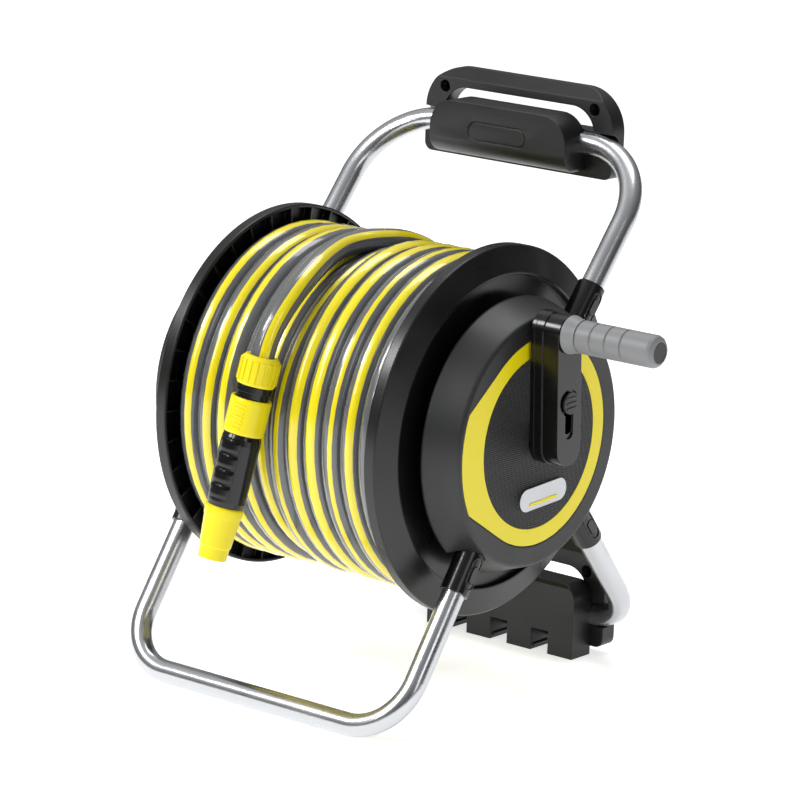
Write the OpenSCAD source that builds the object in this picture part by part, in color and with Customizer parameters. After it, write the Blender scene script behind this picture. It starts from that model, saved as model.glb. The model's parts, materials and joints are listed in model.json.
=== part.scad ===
// Garden hose reel on a bent tube frame: two drum flanges, a wound hose with
// its nozzle, a crank, two bowl shaped side covers and three U tubes.
// +Z is up, +X points to the crank side, +Y to the wall side.
// The origin is on the floor, under the middle of the frame, crank and grip.

/* [Drum] */
// Diameter over the drum flanges
flange_d = 320; // [300:1:328]
// Clear width between the two flanges
drum_gap = 220; // [180:1:260]
// Width of a flange rim along the axle
rim_w = 11; // [9:0.5:14]
// Wall of a flange web
web_t = 4; // [3:0.5:6]
// Outer diameter of the drum core
core_d = 184; // [150:1:200]
// Wall of the drum core
core_wall = 4; // [3:0.5:6]
// Number of stiffening ribs on each flange
rib_count = 36; // [24:1:48]
// Thickness of one flange rib
rib_t = 1.6; // [1.2:0.2:2.4]
// Diameter of the axle stubs
shaft_d = 24; // [20:1:26]
// Radial clearance of an axle stub in its bush
shaft_gap = 0.05; // [0.03:0.01:0.1]

/* [Hose] */
// Outer diameter of the hose
hose_d = 20.4; // [16:0.2:21]
// Outer diameter of the wound hose
bundle_d = 296; // [280:1:300]

/* [Side covers] */
// Diameter of a bowl cover at its back edge
bowl_d = 238; // [228:1:246]
// Diameter of a bowl cover at its front face
bowl_face_d = 218; // [212:1:226]
// Depth of a bowl cover along the axle
bowl_depth = 32; // [30:1:36]
// Wall of a bowl cover
bowl_wall = 2.6; // [2:0.2:3.4]
// Depth of the pocket that holds the ring and the face disc
pocket_t = 2; // [1.5:0.1:2.4]
// Inner diameter of the coloured ring
ring_id = 151; // [145:1:158]
// Outer diameter of the coloured ring on its narrow side
ring_od = 180; // [172:1:190]
// Radius of the coloured ring on its wide side
ring_bulge_r = 104; // [99:1:105]
// Turn of the badge and ring about the axle, in degrees
face_turn = 3; // [0:1:10]

/* [Tube frame] */
// Outer diameter of the frame tube
tube_d = 20; // [18:1:21]
// Wall of the frame tube
tube_wall = 1.5; // [1:0.1:2]
// Distance between the two legs of a U tube, centre to centre
leg_span = 302; // [296:1:312]
// Height of the axle above the floor
axle_height = 238; // [232:1:260]
// Lean of the front foot from straight down, in degrees
front_angle = 34.3; // [30:0.1:38]
// Lean of the rear foot from straight down, in degrees
rear_angle = 38.9; // [37:0.1:41]
// Lean of the carrying handle from straight up, in degrees
handle_angle = 39.3; // [36:0.1:42]
// Distance from the axle to the handle bar, along the legs
handle_reach = 281; // [272:1:292]
// Distance from the axle to the rear bar, along the legs
rear_reach = 267.7; // [262:0.1:272]
// Bend radius of the two feet, at the tube centre
foot_bend_r = 49; // [40:1:60]
// Bend radius of the handle, at the tube centre
handle_bend_r = 70; // [50:1:90]
// Outer diameter of the sockets that hold the tubes
socket_d = 24.6; // [24:0.2:27]
// Distance from the axle to the open end of a socket
socket_reach = 147; // [140:1:152]

/* [Brackets] */
// Distance from the axle to the wall behind the brackets
wall_gap = 191; // [189:1:196]
// Thickness of a bracket loop
loop_t = 17; // [15:1:19]
// Width of the top bracket loop
top_loop_w = 208; // [190:1:230]
// Width of the top bracket front cover
top_cover_w = 150; // [130:1:170]
// Width of the rear bracket loop
rear_loop_w = 238; // [228:1:250]
// Radius of a wall screw hole
wall_hole_r = 2.75; // [2:0.25:3]
// Width of one accessory prong
prong_w = 27; // [24:1:30]
// Distance from one accessory prong to the next
prong_pitch = 46; // [42:1:50]

/* [Crank] */
// Distance from the axle to the grip
crank_r = 98; // [85:1:105]
// Half width of the crank arm
arm_half_w = 16; // [15:0.5:18]
// Thickness of the crank arm along the axle
arm_t = 28; // [26:1:32]
// Lean of the parked crank arm from straight up, in degrees
crank_lean = 3; // [0:1:10]
// Diameter of the grip
grip_d = 28; // [24:1:32]
// Length of the grip
grip_len = 91; // [80:1:110]
// Diameter of the steel pin in the grip
pin_d = 10; // [8:1:12]
// Travel of the latch slider
latch_travel = 22; // [15:1:24]

/* [Water inlet] */
// Radius of the quick connector nipple
nipple_r = 8; // [7:0.5:9]
// Distance from the axle to the tip of the nipple
nipple_reach = 62; // [58:1:70]

/* [Nozzle] */
// Radius of the hose nut
nut_r = 17.3; // [16:0.1:17.4]
// Lean of the hanging nozzle away from the drum, in degrees
nozzle_out = 11; // [8:0.5:12]
// Lean of the hanging nozzle to the side, in degrees
nozzle_side = 6.8; // [5:0.1:10]
// Travel of the connector release sleeve
sleeve_travel = 4; // [2:0.5:5]

/* [Hidden] */
fine = 180;
mid = 64;
small = 32;
fit = 0.3;
tube_r = tube_d / 2;
shaft_r = shaft_d / 2;
hose_r = hose_d / 2;
core_r = core_d / 2;
flange_r = flange_d / 2;
leg_x = leg_span / 2;

// Stations along the axle, measured from the middle of the drum
rim_x = drum_gap / 2;
rim_out_x = rim_x + rim_w;
web_in_x = rim_x + 8;
web_out_x = web_in_x + web_t;
ridge_x = rim_out_x + 6.4;
ridge_r = flange_r - 23;
boss_x = web_out_x + 4;
carrier_x = boss_x + 3;
carrier_t = 4;
bowl_x = carrier_x + 8;
face_x = bowl_x + bowl_depth;
floor_x = face_x - pocket_t;
arm_x = face_x + 3;
arm_out_x = arm_x + arm_t;
grip_x = arm_out_x + 0.6;
grip_end_x = grip_x + grip_len;

// Bearing and water seal stations
bush_r = shaft_r + 4;
bush_end_x = face_x - 6;
left_bush_end_x = bowl_x + 13;
seal_bore_r = shaft_r + 0.3;
inlet_in_x = left_bush_end_x + 1;
inlet_face_x = face_x + 3;
water_shaft_end_x = inlet_face_x - 6;
spigot_r = 9;
elbow_x = inlet_face_x + 1;
elbow_end_x = elbow_x + 24;
water_r = 5;

// Frame bars: each U tube lies in a plane that turns about the axle
front_turn = 180 + front_angle;
rear_turn = 180 - rear_angle;
front_shift = 3.4;
rear_shift = -11.4;
handle_shift = -5.7;
front_reach = (axle_height - tube_r - front_shift * sin(front_turn)) / -cos(front_turn);
function bar_y(turn, shift, reach) = reach * sin(turn) + shift * cos(turn);
function bar_z(turn, shift, reach) = reach * cos(turn) - shift * sin(turn);
handle_y = bar_y(handle_angle, handle_shift, handle_reach);
handle_z = bar_z(handle_angle, handle_shift, handle_reach);
rear_y = bar_y(rear_turn, rear_shift, rear_reach);
rear_z = bar_z(rear_turn, rear_shift, rear_reach);
front_y = bar_y(front_turn, front_shift, front_reach);
LEGS = [[handle_angle, handle_shift], [rear_turn, rear_shift], [front_turn, front_shift]];
leg_start = 88;
socket_start = 58;
window_at = 124;
window_len = 16;
window_w = 8;
post_r = 5;
post_at = 88;
POST_TURNS = [0, 90, 180, 270];

// Origin: floor level, middle of the frame's box
axis_x = (elbow_end_x - grip_end_x) / 2;
axis_y = (tube_r - front_y - wall_gap) / 2;

// Brackets
edge_cut = 10;
low_corner = 29;
loop_front_y = wall_gap - loop_t;
cover_t = 3;
plate_depth = 30;
top_front_y = handle_y - plate_depth;
rear_front_y = rear_y - plate_depth;
top_loop_low = handle_z - 30;
top_loop_high = handle_z + 48;
rear_loop_low = rear_z - 29;
rear_loop_high = rear_z + 64;
rear_plate_high = rear_z + 30.5;
slot_top = rear_z - 16;
top_hole = [top_loop_w / 2 - 21, top_loop_high - 18];
rear_hole = [rear_loop_w / 2 - 21, rear_loop_high - 26];
rear_cover_left = -prong_pitch - prong_w / 2;
rear_cover_right = 2 * prong_pitch + prong_w / 2;

// Latch slider on the crank arm
latch_z = 39;
latch_head_r = 9.5;
stem_r = 5;
arm_wall = 3;

// Free hose end: route of its centre line, seen from the drum centre
HOSE_ROUTE = [
    [-3, 104, 90.4], [-3.5, 88, 107.5], [-4, 70.5, 121], [-4.8, 52, 131.4], [-5.8, 34, 138.2],
    [-7, 17, 142.4], [-9, 1, 144.6], [-12.3, -13, 145.6], [-15.6, -28, 145.2],
    [-16.6, -45, 143.4], [-14, -64, 139.4], [-10.5, -81, 134.6], [-7, -97, 128.6],
    [-4.5, -111.5, 121.6], [-3.2, -124.5, 113], [-3.2, -136, 102.8],
    [-4, -145.3, 91.4], [-5, -152, 79], [-6, -156.1, 66], [-7.5, -158.7, 53]];
NOZZLE_AT = [-5.8, -155.9, 67.4];
sleeve_z = 36.4;

// ---- Placing helpers ----

// Moves a piece from the drum centre to its place above the floor
module place() translate([axis_x, axis_y, axle_height]) children();

// Turns children drawn with +Z outwards into the plane of one pair of legs
module leg_plane(turn, shift) rotate([-turn, 0, 0]) translate([0, shift, 0]) children();

// Lathe about the axle: points are [radius, distance along X]
module lathe_x(points) rotate([0, 90, 0]) rotate_extrude($fn = fine) polygon(points);

// Plain ring about the axle
module ring_x(r_out, r_in, from, to) lathe_x([[r_in, from], [r_out, from], [r_out, to], [r_in, to]]);

// Extrudes a shape drawn in the Y-Z plane along the axle
module plate_x(from, to) translate([from, 0, 0]) rotate([90, 0, 90]) linear_extrude(to - from) children();

// Extrudes a shape drawn in the X-Z plane towards the wall
module plate_y(from, to) translate([0, to, 0]) rotate([90, 0, 0]) linear_extrude(to - from) children();

// Cylinder along the axle
module rod_x(r, from, to, turns = mid) translate([from, 0, 0]) rotate([0, 90, 0])
    cylinder(r = r, h = to - from, $fn = turns);

// Cylinder along +Y
module rod_y(r, from, to, turns = small) translate([0, to, 0]) rotate([90, 0, 0])
    cylinder(r = r, h = to - from, $fn = turns);

// Rounded rectangle between two corners
module round_rect(x0, x1, z0, z1, r) {
    translate([x0 + r, z0]) square([x1 - x0 - 2 * r, z1 - z0]);
    translate([x0, z0 + r]) square([x1 - x0, z1 - z0 - 2 * r]);
    for (x = [x0 + r, x1 - r])
        for (z = [z0 + r, z1 - r])
            translate([x, z]) circle(r = r, $fn = mid);
}

// Loop outline: small corners below, large corners above
module loop_shape(half_w, low, high, corner) {
    foot = 8;
    translate([-half_w, low + foot]) square([2 * half_w, high - corner - low - foot]);
    translate([-half_w + foot, low]) square([2 * (half_w - foot), foot + 1]);
    translate([-half_w + corner, low + foot]) square([2 * (half_w - corner), high - low - foot]);
    for (side = [-1, 1]) {
        translate([side * (half_w - foot), low + foot]) circle(r = foot, $fn = mid);
        translate([side * (half_w - corner), high - corner]) circle(r = corner, $fn = fine);
    }
}

// Straight slot with round ends, along the second axis
module slot_shape(r, z0, z1) {
    translate([-r, z0]) square([2 * r, z1 - z0]);
    for (z = [z0, z1]) translate([0, z]) circle(r = r, $fn = mid);
}

// Turns a piece of the crank to the angle at which the arm is parked
module parked() rotate([crank_lean, 0, 0]) children();

// Frame of the hanging connector and nozzle: +Z runs from the nut to the tip
module nozzle_frame() translate(NOZZLE_AT) rotate([180 - nozzle_out, nozzle_side, 0]) children();

module lathe_nozzle(points) place() nozzle_frame() rotate_extrude($fn = mid) polygon(points);

// ---- Tube frame ----

module u_path(r, reach, bend, start) {
    straight = reach - bend - start;
    for (side = [0, 1]) mirror([side, 0, 0]) {
        translate([leg_x, 0, start]) cylinder(r = r, h = straight, $fn = mid);
        translate([leg_x - bend, 0, reach - bend]) rotate([90, 0, 0])
            rotate_extrude(angle = 90, $fn = fine) translate([bend, 0]) circle(r = r, $fn = mid);
    }
    translate([-(leg_x - bend), 0, reach]) rotate([0, 90, 0])
        cylinder(r = r, h = 2 * (leg_x - bend), $fn = mid);
}

module u_tube(turn, shift, reach, bend) color("silver") place() leg_plane(turn, shift)
    difference() {
        u_path(tube_r, reach, bend, leg_start);
        u_path(tube_r - tube_wall, reach, bend, leg_start - 1);
    }

module top_tube() u_tube(handle_angle, handle_shift, handle_reach, handle_bend_r);
module front_foot_tube() u_tube(front_turn, front_shift, front_reach, foot_bend_r);
module rear_foot_tube() u_tube(rear_turn, rear_shift, rear_reach, foot_bend_r);

// ---- Carriers: plates with a bearing boss and three tube sockets ----

module window_shape(r) slot_shape(r, window_at, window_at + window_len - window_w);

module carrier(boss_end) {
    difference() {
        union() {
            ring_x(bowl_d / 2 - 17, shaft_r, carrier_x, carrier_x + carrier_t);
            ring_x(bush_r + 5, shaft_r, carrier_x, boss_end);
            for (leg = LEGS) leg_plane(leg[0], leg[1]) {
                translate([leg_x, 0, socket_start])
                    cylinder(r = socket_d / 2, h = socket_reach - socket_start, $fn = mid);
                translate([carrier_x + 1, -6, 18]) cube([leg_x - carrier_x, 12, socket_start + 22]);
            }
        }
        rod_x(bush_r, carrier_x - 1, boss_end + 1);
        for (leg = LEGS) leg_plane(leg[0], leg[1]) {
            translate([leg_x, 0, leg_start - 0.5])
                cylinder(r = tube_r + 0.1, h = socket_reach - leg_start + 2, $fn = mid);
            plate_x(leg_x + tube_r - 1, leg_x + socket_d) window_shape(window_w / 2);
        }
        for (turn = POST_TURNS) rotate([-turn, 0, 0]) translate([0, 0, post_at])
            rod_x(2.2, carrier_x - 1, carrier_x + carrier_t + 1, small);
    }
}

module right_carrier() color("#1b1b1c") place() carrier(bush_end_x);
module left_carrier() color("#1b1b1c") place() mirror([1, 0, 0]) carrier(left_bush_end_x);

// Spring buttons that hold the tube ends in the socket windows
module tube_snap_buttons() color("#262628") place()
    for (side = [0, 1]) mirror([side, 0, 0])
        for (leg = LEGS) leg_plane(leg[0], leg[1])
            plate_x(leg_x + tube_r + 0.1, leg_x + socket_d / 2 + 0.4) window_shape(window_w / 2 - fit);

// ---- Bowl covers ----

// Outline of the coloured ring: a circle with a wide flat-sided bulge to the front
module ring_outline(grow) {
    half = 24.5;
    r_in = ring_od / 2 + grow;
    r_out = ring_bulge_r + grow;
    touch = half + acos(r_in / r_out);
    circle(r = r_in, $fn = fine);
    polygon(concat(
        [[-r_in * cos(touch), r_in * sin(touch)]],
        [for (a = [half : -half / 8 : -half]) [-r_out * cos(a), r_out * sin(a)]],
        [[-r_in * cos(touch), -r_in * sin(touch)]]));
}

module bowl(hole_r) {
    r_back = bowl_d / 2;
    r_face = bowl_face_d / 2;
    slope = (r_back - r_face) / (bowl_depth - 4);
    difference() {
        union() {
            lathe_x([
                [r_back - bowl_wall, bowl_x], [r_back, bowl_x], [r_face + slope, face_x - 4],
                [r_face - 0.2, face_x - 2.4], [r_face - 1, face_x - 1], [r_face - 2.6, face_x],
                [hole_r, face_x], [hole_r, floor_x - bowl_wall],
                [r_face - 5, floor_x - bowl_wall], [r_face + slope - bowl_wall, face_x - 7]]);
            for (turn = POST_TURNS) rotate([-turn, 0, 0]) translate([0, 0, post_at])
                rod_x(post_r, carrier_x + carrier_t, floor_x - bowl_wall + 0.5, small);
        }
        for (leg = LEGS) leg_plane(leg[0], leg[1]) {
            translate([leg_x, 0, post_at]) cylinder(r = socket_d / 2 + fit, h = 50, $fn = mid);
            translate([bowl_x - 1, -socket_d / 2 - fit, post_at])
                cube([leg_x - bowl_x + 1, socket_d + 2 * fit, 50]);
        }
        for (turn = POST_TURNS) rotate([-turn, 0, 0]) translate([0, 0, post_at])
            rod_x(1.7, carrier_x, carrier_x + carrier_t + 14, small);
        children();
    }
}

module right_cover() color("#2b2b2d") place() bowl(shaft_r + 2.2)
    rotate([face_turn, 0, 0]) plate_x(floor_x, face_x + 1) ring_outline(fit);

module left_cover() color("#2b2b2d") place() mirror([1, 0, 0]) bowl(seal_bore_r + 7.2)
    rod_x(ring_id / 2 + fit, floor_x, face_x + 1, fine);

module coloured_ring() color("#f2e018") place() rotate([face_turn, 0, 0])
    plate_x(floor_x, face_x) difference() {
        ring_outline(0);
        circle(r = ring_id / 2, $fn = fine);
    }

module face_disc(hole_r) difference() {
    rod_x(ring_id / 2 - fit, floor_x, face_x, fine);
    rod_x(hole_r, floor_x - 1, face_x + 1);
}

module right_face_disc() color("#3a3a3c") place() face_disc(shaft_r + 2);
module left_face_disc() color("#3a3a3c") place() mirror([1, 0, 0]) face_disc(seal_bore_r + 7);

module badge_plate() color("#b9bcc0") place() rotate([face_turn, 0, 0])
    plate_x(face_x, face_x + 1.2) round_rect(-27, 37, -58, -38.5, 9.7);

module badge_bar() color("#f2e018") place() rotate([face_turn, 0, 0])
    plate_x(face_x + 1.2, face_x + 1.5) round_rect(-14, 24, -54.5, -51.5, 1);

module cover_screws() for (turn = POST_TURNS) rotate([-turn, 0, 0]) translate([0, 0, post_at]) {
    rod_x(1.6, carrier_x, carrier_x + carrier_t + 12, small);
    rod_x(4, carrier_x - 2, carrier_x, small);
}

module right_cover_screws() color("#8f9296") place() cover_screws();
module left_cover_screws() color("#8f9296") place() mirror([1, 0, 0]) cover_screws();

// ---- Bearings ----

module bush(end) {
    ring_x(bush_r, shaft_r + shaft_gap, carrier_x, end);
    ring_x(bush_r + 3, shaft_r + shaft_gap, carrier_x - 2, carrier_x);
}

module right_bush() color("#d9d8d0") place() bush(bush_end_x);
module left_bush() color("#d9d8d0") place() mirror([1, 0, 0]) bush(left_bush_end_x);

// ---- Brackets ----

module loop_plate(half_w, low, high, corner, band_w, band_h, open_low, hole) {
    open_half = half_w - band_w;
    open_high = high - band_h;
    difference() {
        plate_y(loop_front_y, wall_gap) difference() {
            loop_shape(half_w, low, high, corner);
            difference() {
                loop_shape(open_half, open_low - 60, open_high, corner - band_h + 4);
                translate([-half_w, open_low - 70]) square([2 * half_w, 70]);
            }
        }
        translate([-half_w - 1, loop_front_y, high - edge_cut]) rotate([45, 0, 0])
            translate([0, -40, 0]) cube([2 * half_w + 2, 80, 40]);
        for (side = [-1, 1]) translate([side * hole[0], 0, hole[1]]) {
            rod_y(wall_hole_r, loop_front_y - 1, wall_gap + 1);
            rod_y(5.5, loop_front_y - 1, wall_gap - 5);
        }
    }
}

module tube_cut(y, z) translate([-400, y, z]) rotate([0, 90, 0]) cylinder(r = tube_r + 0.1, h = 800, $fn = mid);

TOP_SCREW_X = [-50, 50];
REAR_SCREW_X = [-46, 46, 92];
screw_drop = 19;

module bracket_screw_holes(xs, z) for (x = xs) translate([x, 0, z]) {
    rod_y(2.2, loop_front_y - 30, wall_gap + 1);
    rod_y(4.4, wall_gap - 4, wall_gap + 1);
}

module bracket_screws(xs, z, from) for (x = xs) translate([x, 0, z]) {
    rod_y(1.9, from, wall_gap - 4);
    rod_y(4, wall_gap - 4, wall_gap - 1);
}

// Handle loop behind the top bar, with the hand opening and two wall screw holes
module top_bracket_loop() color("#1d1d1e") place() difference() {
    loop_plate(top_loop_w / 2, top_loop_low, top_loop_high, 38, 20, 17, handle_z + tube_r + 2, top_hole);
    tube_cut(handle_y, handle_z);
    leg_plane(handle_angle, handle_shift) u_path(tube_r + 0.2, handle_reach, handle_bend_r, leg_start);
    bracket_screw_holes(TOP_SCREW_X, handle_z - screw_drop);
}

module top_bracket_cover() color("#202021") place() difference() {
    union() {
        difference() {
            plate_y(top_front_y, loop_front_y)
                round_rect(-top_cover_w / 2, top_cover_w / 2, handle_z - 25, handle_z + 24.5, 12);
            plate_y(top_front_y + cover_t, loop_front_y + 1)
                round_rect(-top_cover_w / 2 + cover_t, top_cover_w / 2 - cover_t,
                    handle_z - 25 + cover_t, handle_z + 24.5 - cover_t, 9);
        }
        for (x = [-60, -22, 18, 56]) translate([x, 0, 0])
            plate_y(top_front_y + 1, loop_front_y) translate([0, handle_z - 23.5]) square([4, 46.5]);
        for (x = TOP_SCREW_X) translate([x, 0, handle_z - screw_drop])
            rod_y(5, top_front_y + 1, loop_front_y);
    }
    tube_cut(handle_y, handle_z);
    for (x = TOP_SCREW_X) translate([x, 0, handle_z - screw_drop])
        rod_y(2, loop_front_y - 14, loop_front_y + 1);
    plate_y(top_front_y - 1, top_front_y + 1) round_rect(-32, 32, handle_z - 8.5, handle_z + 8.5, 8.4);
}

module top_bracket_screws() color("#8f9296") place()
    bracket_screws(TOP_SCREW_X, handle_z - screw_drop, loop_front_y - 12);

module rear_bracket_loop() color("#1d1d1e") place() difference() {
    loop_plate(rear_loop_w / 2, rear_loop_low, rear_loop_high, 42, 20, 24, rear_z + tube_r + 2, rear_hole);
    tube_cut(rear_y, rear_z);
    leg_plane(rear_turn, rear_shift) u_path(tube_r + 0.2, rear_reach, foot_bend_r, leg_start);
    bracket_screw_holes(REAR_SCREW_X, rear_z - screw_drop - 2);
    plate_y(loop_front_y - 1, wall_gap + 1) polygon([
        [-rear_loop_w / 2 - 1, rear_loop_low - 1], [-rear_loop_w / 2 + low_corner, rear_loop_low - 1],
        [-rear_loop_w / 2 - 1, rear_loop_low + low_corner]]);
}

// Cover of the rear bracket with four prongs that stand on the floor and hold accessories
module accessory_holder() color("#202021") place() difference() {
    union() {
        difference() {
            plate_y(rear_front_y, loop_front_y)
                round_rect(rear_cover_left, rear_cover_right, slot_top, rear_plate_high, 14);
            plate_y(rear_front_y + cover_t, loop_front_y + 1)
                round_rect(rear_cover_left + cover_t, rear_cover_right - cover_t,
                    slot_top + cover_t, rear_plate_high - cover_t, 11);
        }
        plate_y(rear_front_y, loop_front_y)
            translate([rear_cover_left, slot_top]) square([rear_cover_right - rear_cover_left, 14]);
        for (x = [-48, 44, 84]) translate([x, 0, 0])
            plate_y(rear_front_y + 1, loop_front_y)
                translate([0, slot_top + 1]) square([4, rear_plate_high - slot_top - 2]);
        for (i = [-1 : 2]) translate([i * prong_pitch, 0, 0]) {
            plate_y(rear_front_y, loop_front_y) translate([-prong_w / 2, -axle_height])
                square([prong_w, axle_height + slot_top + 1]);
            if (i < 2) translate([prong_w / 2, 0, -axle_height + 4])
                rod_y(1.6, rear_front_y + 4, loop_front_y - 2);
            if (i > -1) translate([-prong_w / 2, 0, -axle_height + 4])
                rod_y(1.6, rear_front_y + 4, loop_front_y - 2);
        }
    }
    for (i = [-1 : 2]) translate([i * prong_pitch, 0, 0])
        plate_y(rear_front_y + cover_t, loop_front_y + 1)
            translate([-prong_w / 2 + cover_t, -axle_height + cover_t])
                square([prong_w - 2 * cover_t, axle_height + slot_top - 8]);
    tube_cut(rear_y, rear_z);
    translate([rear_cover_left - 1, rear_front_y, rear_plate_high - cover_t]) rotate([45, 0, 0])
        translate([0, -40, 0]) cube([rear_cover_right - rear_cover_left + 2, 80, 40]);
}

module rear_bracket_screws() color("#8f9296") place()
    bracket_screws(REAR_SCREW_X, rear_z - screw_drop - 2, loop_front_y + 0.2);

// ---- Water inlet on the left side ----

module inlet_body() color("#1b1b1c") place() mirror([1, 0, 0]) lathe_x([
    [seal_bore_r, inlet_in_x], [seal_bore_r + 4, inlet_in_x], [seal_bore_r + 4, floor_x - bowl_wall - fit],
    [seal_bore_r + 6.7, floor_x - bowl_wall - fit], [seal_bore_r + 6.7, inlet_face_x],
    [spigot_r, inlet_face_x], [spigot_r, inlet_face_x + 12], [spigot_r - 1.8, inlet_face_x + 12],
    [spigot_r - 1.8, inlet_face_x + 14.6], [spigot_r, inlet_face_x + 14.6],
    [spigot_r, inlet_face_x + 17], [water_r, inlet_face_x + 17], [water_r, inlet_face_x - 4],
    [seal_bore_r, inlet_face_x - 4]]);

module inlet_elbow() color("#1b1b1c") place() mirror([1, 0, 0]) difference() {
    union() {
        rod_x(13, elbow_x, elbow_end_x - 2);
        rod_x(11, elbow_end_x - 2.1, elbow_end_x);
        translate([elbow_x + 11, 0, 0]) rotate([180, 0, 0]) cylinder(r = 10, h = nipple_reach - 26, $fn = mid);
    }
    rod_x(spigot_r + shaft_gap, elbow_x - 1, elbow_x + 18);
    translate([elbow_x + 11, 0, 0]) rotate([180, 0, 0]) cylinder(r = water_r, h = nipple_reach, $fn = mid);
}

module inlet_nipple() color("#f2e018") place() translate([-(elbow_x + 11), 0, 0]) rotate([180, 0, 0])
    rotate_extrude($fn = mid) polygon([
        [water_r, nipple_reach - 26], [12, nipple_reach - 26], [12, nipple_reach - 21],
        [nipple_r + 1.4, nipple_reach - 21], [nipple_r + 1.4, nipple_reach - 15],
        [nipple_r - 1, nipple_reach - 13], [nipple_r - 1, nipple_reach - 10],
        [nipple_r, nipple_reach - 10], [nipple_r, nipple_reach], [water_r, nipple_reach]]);

module elbow_seal() color("#111112") place() mirror([1, 0, 0]) rotate([0, 90, 0])
    translate([0, 0, inlet_face_x + 13.3]) rotate_extrude($fn = mid)
        translate([spigot_r - 0.9, 0]) circle(r = 0.9, $fn = small);

// ---- Drum ----

module drum_posts(r, length) for (side = [0, 1]) mirror([side, 0, 0])
    for (i = [0 : 5]) rotate([i * 60 + 15, 0, 0]) translate([0, 0, core_r - 8])
        rod_x(r, rim_x - length, rim_x, small);

module drum_core() color("#161617") place() difference() {
    union() {
        ring_x(core_r, core_r - core_wall, -rim_x, rim_x);
        drum_posts(5.5, 22);
    }
    drum_posts(2.1, 40);
    translate([-rim_x + 22, 0, 0]) rotate([180, 0, 0]) cylinder(r = 8.6, h = core_r + 5, $fn = mid);
}

module flange() difference() {
    union() {
        lathe_x([
            [shaft_r, rim_x - 10], [shaft_r + 10, rim_x - 10], [shaft_r + 10, web_in_x],
            [core_r - 14, web_in_x], [core_r - 14, rim_x], [core_r, rim_x], [core_r, web_in_x],
            [flange_r - 3, web_in_x], [flange_r - 3, rim_x], [flange_r - 0.8, rim_x], [flange_r, rim_x + 0.8],
            [flange_r, rim_out_x - 1], [flange_r - 1, rim_out_x], [ridge_r, ridge_x],
            [ridge_r - 2, ridge_x], [ridge_r - 3, web_out_x],
            [shaft_r + 10, web_out_x], [shaft_r + 10, boss_x], [shaft_r, boss_x]]);
        plate_x(rim_x + 0.6, web_in_x + 1) for (i = [0 : rib_count - 1])
            rotate([0, 0, i * 360 / rib_count])
                translate([core_r - 1, -rib_t / 2]) square([flange_r - core_r - 1, rib_t]);
    }
    for (i = [0 : 5]) rotate([i * 60 + 15, 0, 0]) translate([0, 0, core_r - 8])
        rod_x(2.1, rim_x - 1, web_out_x + 1, small);
}

module right_flange() color("#161617") place() flange();
module left_flange() color("#161617") place() mirror([1, 0, 0]) flange();

module drum_screws() color("#8f9296") place() for (side = [0, 1]) mirror([side, 0, 0])
    for (i = [0 : 5]) rotate([i * 60 + 15, 0, 0]) translate([0, 0, core_r - 8]) {
        rod_x(1.9, rim_x - 16, web_out_x, small);
        rod_x(3.6, web_out_x, web_out_x + 2.5, small);
    }

module crank_shaft() color("#2a2a2c") place() difference() {
    rod_x(shaft_r, rim_x - 10, arm_x + 14);
    rod_x(3.1, arm_x - 12, arm_x + 15, small);
}

module water_shaft() color("#2a2a2c") place() mirror([1, 0, 0]) lathe_x([
    [6, rim_x - 24], [10, rim_x - 24], [10, rim_x - 10], [shaft_r, rim_x - 10],
    [shaft_r, water_shaft_end_x - 11], [shaft_r - 1.9, water_shaft_end_x - 11],
    [shaft_r - 1.9, water_shaft_end_x - 8.4], [shaft_r, water_shaft_end_x - 8.4],
    [shaft_r, water_shaft_end_x - 5], [shaft_r - 1.9, water_shaft_end_x - 5],
    [shaft_r - 1.9, water_shaft_end_x - 2.4], [shaft_r, water_shaft_end_x - 2.4],
    [shaft_r, water_shaft_end_x], [6, water_shaft_end_x]]);

module shaft_seals() color("#111112") place() mirror([1, 0, 0]) rotate([0, 90, 0])
    for (back = [9.7, 3.7]) translate([0, 0, water_shaft_end_x - back])
        rotate_extrude($fn = mid) translate([shaft_r - 0.85, 0]) circle(r = 1.05, $fn = small);

// Pipe from the water shaft to the hole in the drum core where the hose starts
module hose_tail() color("#1b1b1c") place() translate([-rim_x + 22, 0, 0]) difference() {
    union() {
        rotate([180, 0, 0]) cylinder(r = 8, h = core_r - 0.5, $fn = mid);
        rod_x(11, -9, 10);
    }
    rotate([180, 0, 0]) cylinder(r = 5.5, h = core_r + 1, $fn = mid);
    rod_x(10.02, -10, 2);
}

module tail_clamp() color("#8f9296") place() translate([-rim_x + 22, 0, -core_r + 26]) difference() {
    union() {
        cylinder(r = 9.6, h = 9, $fn = mid);
        translate([7, -4, 1]) cube([7, 8, 7]);
    }
    translate([0, 0, -1]) cylinder(r = 8.05, h = 11, $fn = mid);
}

// ---- Crank ----

module crank_arm() color("#19191a") place() parked() difference() {
    union() {
        difference() {
            union() {
                plate_x(arm_x + 4, arm_out_x - 16) slot_shape(arm_half_w + 1, 0, crank_r);
                plate_x(arm_out_x - 16.1, arm_out_x) slot_shape(arm_half_w, 0, crank_r);
            }
            plate_x(arm_x + 3, arm_out_x - arm_wall) slot_shape(arm_half_w - arm_wall, 0, crank_r);
        }
        rod_x(arm_half_w - 1, arm_x + 4, arm_x + 14.5);
        translate([0, 0, crank_r]) rod_x(pin_d / 2 + 5, arm_x + 4, arm_out_x - 1);
    }
    rod_x(shaft_r, arm_x, arm_x + 14);
    rod_x(3.4, arm_x, arm_x + 16, small);
    translate([0, 0, crank_r]) rod_x(pin_d / 2, arm_x, arm_out_x + 1);
    plate_x(arm_out_x - 1.5, arm_out_x + 1) {
        translate([0, latch_z]) circle(r = 11.5, $fn = mid);
        slot_shape(5.5, latch_z - latch_travel - 4, latch_z);
    }
    plate_x(arm_out_x - arm_wall - 1, arm_out_x + 1)
        slot_shape(stem_r + fit, latch_z - latch_travel, latch_z);
}

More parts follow.
